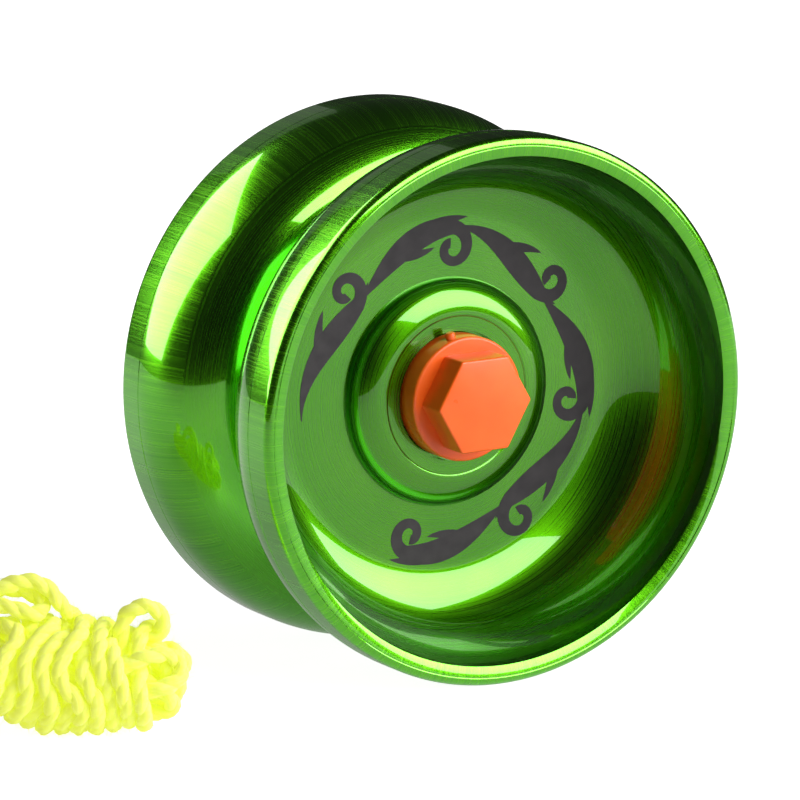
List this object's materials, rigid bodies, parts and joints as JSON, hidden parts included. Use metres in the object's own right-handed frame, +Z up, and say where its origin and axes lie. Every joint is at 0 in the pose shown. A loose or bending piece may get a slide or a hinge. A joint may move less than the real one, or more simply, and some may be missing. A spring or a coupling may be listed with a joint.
{
  "type": "yo-yo",
  "caption": "Metal yo-yo: cupped halves with rounded rims, hexagonal hub caps, screwed axle and ball bearing, beside its loose folded string.",
  "frame": {"origin": "middle of the string gap on the spin axis, which is the centre of the yo-yo's bounding box without its string", "axes": "+Y along the spin axis from the front half towards the back half, +Z up, +X to the right seen from the front"},
  "size_m": [0.0971, 0.0321, 0.055],
  "materials": {
    "green_lacquer": "candy green lacquer over brushed metal, high gloss",
    "orange_plastic": "moulded, semi-gloss",
    "white_silicone": "matt silicone",
    "brass": "turned",
    "zinc_plate": "zinc plated",
    "bearing_steel": "ground bearing steel",
    "yellow_string": "fluorescent polyester, two twisted plies"
  },
  "bodies": {
    "back_half": {"back_cup": "green_lacquer", "back_hex_cap": "orange_plastic", "back_response_pad": "white_silicone", "back_bearing_bush": "brass", "back_axle_washer": "zinc_plate", "back_axle_nut": "zinc_plate", "axle_rod": "zinc_plate", "bearing_inner_race": "bearing_steel", "string_hank": "yellow_string", "string_finger_loop": "yellow_string", "string_axle_loop": "yellow_string"},
    "bearing_ring": {"bearing_outer_race": "bearing_steel", "front_bearing_shield": "bearing_steel", "back_bearing_shield": "bearing_steel", "front_snap_ring": "bearing_steel", "back_snap_ring": "bearing_steel"},
    "ball_cage": {"bearing_cage": "brass", "bearing_ball_1": "bearing_steel", "bearing_ball_2": "bearing_steel", "bearing_ball_3": "bearing_steel", "bearing_ball_4": "bearing_steel", "bearing_ball_5": "bearing_steel", "bearing_ball_6": "bearing_steel", "bearing_ball_7": "bearing_steel", "bearing_ball_8": "bearing_steel"},
    "front_washer": {"front_axle_washer": "zinc_plate"},
    "front_half": {"front_cup": "green_lacquer", "front_hex_cap": "orange_plastic", "front_response_pad": "white_silicone", "front_bearing_bush": "brass", "front_axle_nut": "zinc_plate"}
  },
  "joints": [
    {"name": "bearing_spin", "type": "hinge", "parent": "back_half", "child": "bearing_ring", "pos_m": [0, 0, 0], "axis": [0, 1, 0], "continuous": true},
    {"name": "cage_spin", "type": "hinge", "parent": "back_half", "child": "ball_cage", "pos_m": [0, 0, 0], "axis": [0, 1, 0], "continuous": true},
    {"name": "front_half_travel", "type": "slide", "parent": "back_half", "child": "front_washer", "axis": [0, -1, 0], "range_m": [0, 0.00351]},
    {"name": "front_half_unscrew", "type": "hinge", "parent": "front_washer", "child": "front_half", "pos_m": [0, 0, 0], "axis": [0, -1, 0], "range_deg": [0, 1800]}
  ],
  "couplings": [
    {"joint": "cage_spin", "follows": "bearing_spin", "ratio": 0.625},
    {"joint": "front_half_travel", "follows": "front_half_unscrew", "m_per_rad": 0.00011141}
  ]
}
